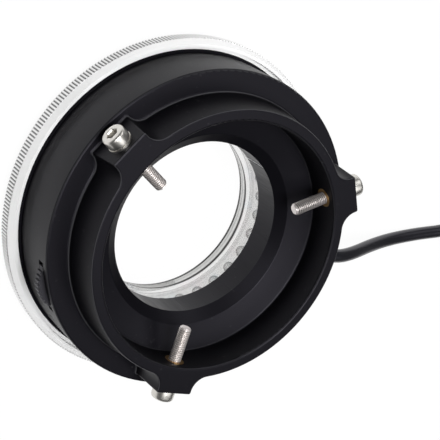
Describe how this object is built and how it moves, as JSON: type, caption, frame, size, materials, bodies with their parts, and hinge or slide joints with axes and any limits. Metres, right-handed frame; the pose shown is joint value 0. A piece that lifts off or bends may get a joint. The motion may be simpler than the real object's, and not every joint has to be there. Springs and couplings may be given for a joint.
{
  "type": "microscope ring light",
  "caption": "Round black ring light for a stereo microscope, with a clamp collar, a knurled screw-on front ring, a clear window, a dimmer wheel at the rim and a coiled cable.",
  "frame": {"origin": "centre of the light bore at the front face, where the light lies on the bench", "axes": "+Z along the bore, out of the clamp collar towards the microscope; +X through clamp screw a, at right angles to the bore; +Y completes a right-handed frame"},
  "size_m": [0.1974, 0.1093, 0.03],
  "materials": {
    "black_housing": "satin",
    "black_sleeve": "satin",
    "ring_aluminium": "satin",
    "clear_window": "polished",
    "black_rubber": "matte",
    "white_board": "satin",
    "lamp_clear": "polished",
    "chip_black": "matte",
    "bright_steel": "polished",
    "dial_metal": "satin",
    "insert_brass": "satin",
    "wheel_black": "satin",
    "cable_black": "gloss",
    "core_red": "satin",
    "tie_black": "satin",
    "plug_black": "satin",
    "plug_nickel": "polished"
  },
  "bodies": {
    "lamp": {"housing": "black_housing", "inner_sleeve": "black_sleeve", "window_gasket": "black_rubber", "led_board": "white_board", "inner_leds": "lamp_clear", "outer_leds": "lamp_clear", "resistors": "chip_black", "board_screws": "bright_steel", "dimmer_dial": "dial_metal", "thread_insert_a": "insert_brass", "thread_insert_b": "insert_brass", "thread_insert_c": "insert_brass", "strain_relief": "cable_black", "lead_wires": "core_red", "cable": "cable_black", "cable_coil": "cable_black", "cable_tail": "cable_black", "cable_tie": "tie_black", "plug_body": "plug_black", "plug_barrel": "plug_nickel", "plug_insulator": "plug_black"},
    "window": {"window": "clear_window"},
    "front_ring": {"knurled_ring": "ring_aluminium"},
    "dimmer": {"dimmer_wheel": "wheel_black", "wheel_cap": "wheel_black"},
    "clamp_washer_a": {"clamp_washer_a": "bright_steel"},
    "clamp_screw_a": {"clamp_screw_a": "bright_steel"},
    "clamp_washer_b": {"clamp_washer_b": "bright_steel"},
    "clamp_screw_b": {"clamp_screw_b": "bright_steel"},
    "clamp_washer_c": {"clamp_washer_c": "bright_steel"},
    "clamp_screw_c": {"clamp_screw_c": "bright_steel"}
  },
  "joints": [
    {"name": "window_travel", "type": "slide", "parent": "lamp", "child": "window", "axis": [0, 0, -1], "range_m": [0, 0.00225]},
    {"name": "ring_turn", "type": "hinge", "parent": "window", "child": "front_ring", "pos_m": [0, 0, 0.003], "axis": [0, 0, -1], "range_deg": [0, 1080]},
    {"name": "dimmer_turn", "type": "hinge", "parent": "lamp", "child": "dimmer", "pos_m": [-0.03349, 0.00058, 0.01715], "axis": [0, 0, 1], "range_deg": [0, 270]},
    {"name": "clamp_a_travel", "type": "slide", "parent": "lamp", "child": "clamp_washer_a", "axis": [1, 0, 0], "range_m": [0, 0.01]},
    {"name": "clamp_a_turn", "type": "hinge", "parent": "clamp_washer_a", "child": "clamp_screw_a", "pos_m": [0.0378, 0, 0.0258], "axis": [1, 0, 0], "range_deg": [0, 7200]},
    {"name": "clamp_b_travel", "type": "slide", "parent": "lamp", "child": "clamp_washer_b", "axis": [-0.5, 0.866, 0], "range_m": [0, 0.01]},
    {"name": "clamp_b_turn", "type": "hinge", "parent": "clamp_washer_b", "child": "clamp_screw_b", "pos_m": [-0.0189, 0.03274, 0.0258], "axis": [-0.5, 0.866, 0], "range_deg": [0, 7200]},
    {"name": "clamp_c_travel", "type": "slide", "parent": "lamp", "child": "clamp_washer_c", "axis": [-0.5, -0.866, 0], "range_m": [0, 0.01]},
    {"name": "clamp_c_turn", "type": "hinge", "parent": "clamp_washer_c", "child": "clamp_screw_c", "pos_m": [-0.0189, -0.03274, 0.0258], "axis": [-0.5, -0.866, 0], "range_deg": [0, 7200]}
  ],
  "couplings": [
    {"joint": "window_travel", "follows": "ring_turn", "m_per_rad": 0.00011937},
    {"joint": "clamp_a_turn", "follows": "clamp_a_travel", "rad_per_m": 12566},
    {"joint": "clamp_b_turn", "follows": "clamp_b_travel", "rad_per_m": 12566},
    {"joint": "clamp_c_turn", "follows": "clamp_c_travel", "rad_per_m": 12566}
  ]
}
